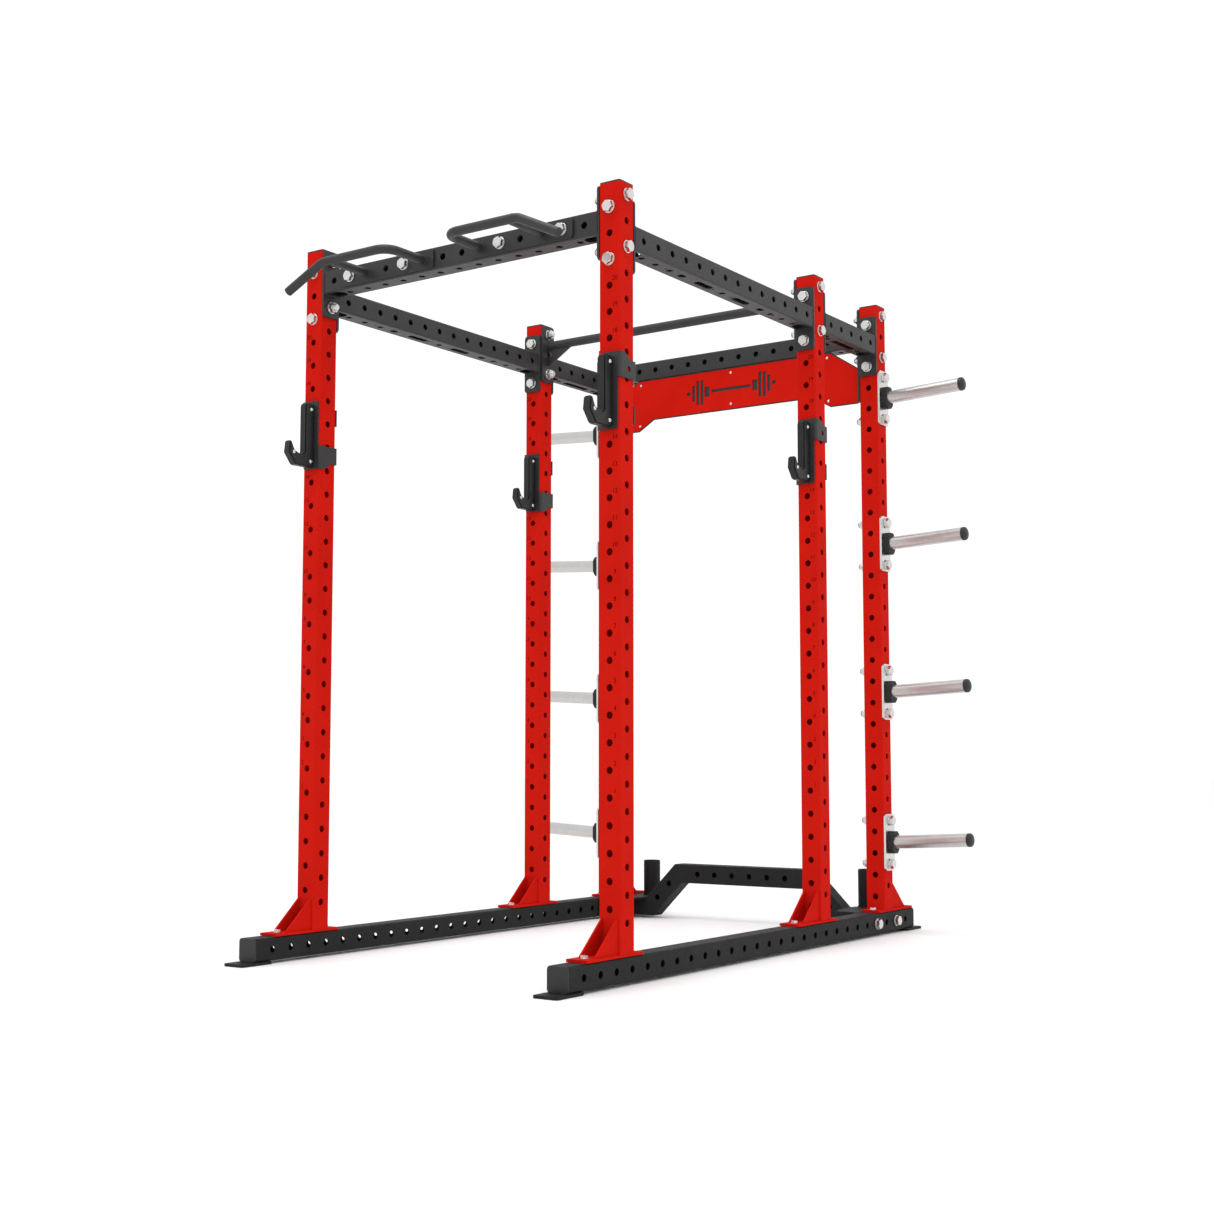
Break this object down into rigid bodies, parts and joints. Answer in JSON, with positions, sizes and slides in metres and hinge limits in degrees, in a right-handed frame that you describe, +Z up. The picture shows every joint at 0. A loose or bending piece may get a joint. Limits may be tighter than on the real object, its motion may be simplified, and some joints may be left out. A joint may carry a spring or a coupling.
{
  "type": "power cage",
  "caption": "Steel power cage with a plate storage bay, pull-up bar and handles, twist-off J-cups, weight horns and barbell holders.",
  "frame": {"origin": "centre of the footprint, on the floor under the foot plates", "axes": "+Z up, -Y the side the lifter steps in from, +Y the storage side, +X the lifter's left when facing the bar from the front opening's inside, and the viewer's right when seen from -Y"},
  "size_m": [1.8544, 2.2, 2.2305],
  "materials": {
    "frame_red": "gloss red powder coat",
    "frame_black": "fine-textured black powder coat",
    "zinc_plated": "bright zinc plating",
    "cap_plastic": "matt black moulded plastic",
    "collar_rubber": "matt black rubber",
    "cup_plastic": "satin black wear-resistant plastic"
  },
  "bodies": {
    "cage": {"base_runner_left": "frame_black", "upright_front_left": "frame_red", "upright_cap_front_left": "cap_plastic", "upright_mid_left": "frame_red", "upright_cap_mid_left": "cap_plastic", "upright_rear_left": "frame_red", "upright_cap_rear_left": "cap_plastic", "base_runner_right": "frame_black", "upright_front_right": "frame_red", "upright_cap_front_right": "cap_plastic", "upright_mid_right": "frame_red", "upright_cap_mid_right": "cap_plastic", "upright_rear_right": "frame_red", "upright_cap_rear_right": "cap_plastic", "side_beam_front_left": "frame_black", "side_beam_front_right": "frame_black", "side_beam_rear_left": "frame_black", "side_beam_rear_right": "frame_black", "front_crossmember": "frame_black", "rear_crossmember": "frame_black", "pull_up_bar": "frame_black", "multi_grip_left": "frame_black", "multi_grip_right": "frame_black", "nameplate_face": "frame_red", "nameplate_backer": "frame_black", "low_crossmember": "frame_black", "bar_holder_left": "frame_black", "bar_holder_right": "frame_black", "horn_left_1": "zinc_plated", "horn_collar_left_1": "collar_rubber", "horn_cap_left_1": "cap_plastic", "horn_left_2": "zinc_plated", "horn_collar_left_2": "collar_rubber", "horn_cap_left_2": "cap_plastic", "horn_left_3": "zinc_plated", "horn_collar_left_3": "collar_rubber", "horn_cap_left_3": "cap_plastic", "horn_left_4": "zinc_plated", "horn_collar_left_4": "collar_rubber", "horn_cap_left_4": "cap_plastic", "horn_right_1": "zinc_plated", "horn_collar_right_1": "collar_rubber", "horn_cap_right_1": "cap_plastic", "horn_right_2": "zinc_plated", "horn_collar_right_2": "collar_rubber", "horn_cap_right_2": "cap_plastic", "horn_right_3": "zinc_plated", "horn_collar_right_3": "collar_rubber", "horn_cap_right_3": "cap_plastic", "horn_right_4": "zinc_plated", "horn_collar_right_4": "collar_rubber", "horn_cap_right_4": "cap_plastic"},
    "jcup_front_left": {"jcup_bracket_front_left": "frame_black", "jcup_body_front_left": "cup_plastic"},
    "jcup_front_right": {"jcup_bracket_front_right": "frame_black", "jcup_body_front_right": "cup_plastic"},
    "jcup_mid_left": {"jcup_bracket_mid_left": "frame_black", "jcup_body_mid_left": "cup_plastic"},
    "jcup_mid_right": {"jcup_bracket_mid_right": "frame_black", "jcup_body_mid_right": "cup_plastic"}
  },
  "joints": [
    {"name": "jcup_twist_front_left", "type": "hinge", "parent": "cage", "child": "jcup_front_left", "pos_m": [-0.575, -0.81, 1.6305], "axis": [0, -1, 0], "range_deg": [0, 90]},
    {"name": "jcup_twist_front_right", "type": "hinge", "parent": "cage", "child": "jcup_front_right", "pos_m": [0.575, -0.81, 1.6305], "axis": [0, 1, 0], "range_deg": [0, 90]},
    {"name": "jcup_twist_mid_left", "type": "hinge", "parent": "cage", "child": "jcup_mid_left", "pos_m": [-0.575, 0.34, 1.6305], "axis": [0, -1, 0], "range_deg": [0, 90]},
    {"name": "jcup_twist_mid_right", "type": "hinge", "parent": "cage", "child": "jcup_mid_right", "pos_m": [0.575, 0.34, 1.6305], "axis": [0, 1, 0], "range_deg": [0, 90]}
  ]
}
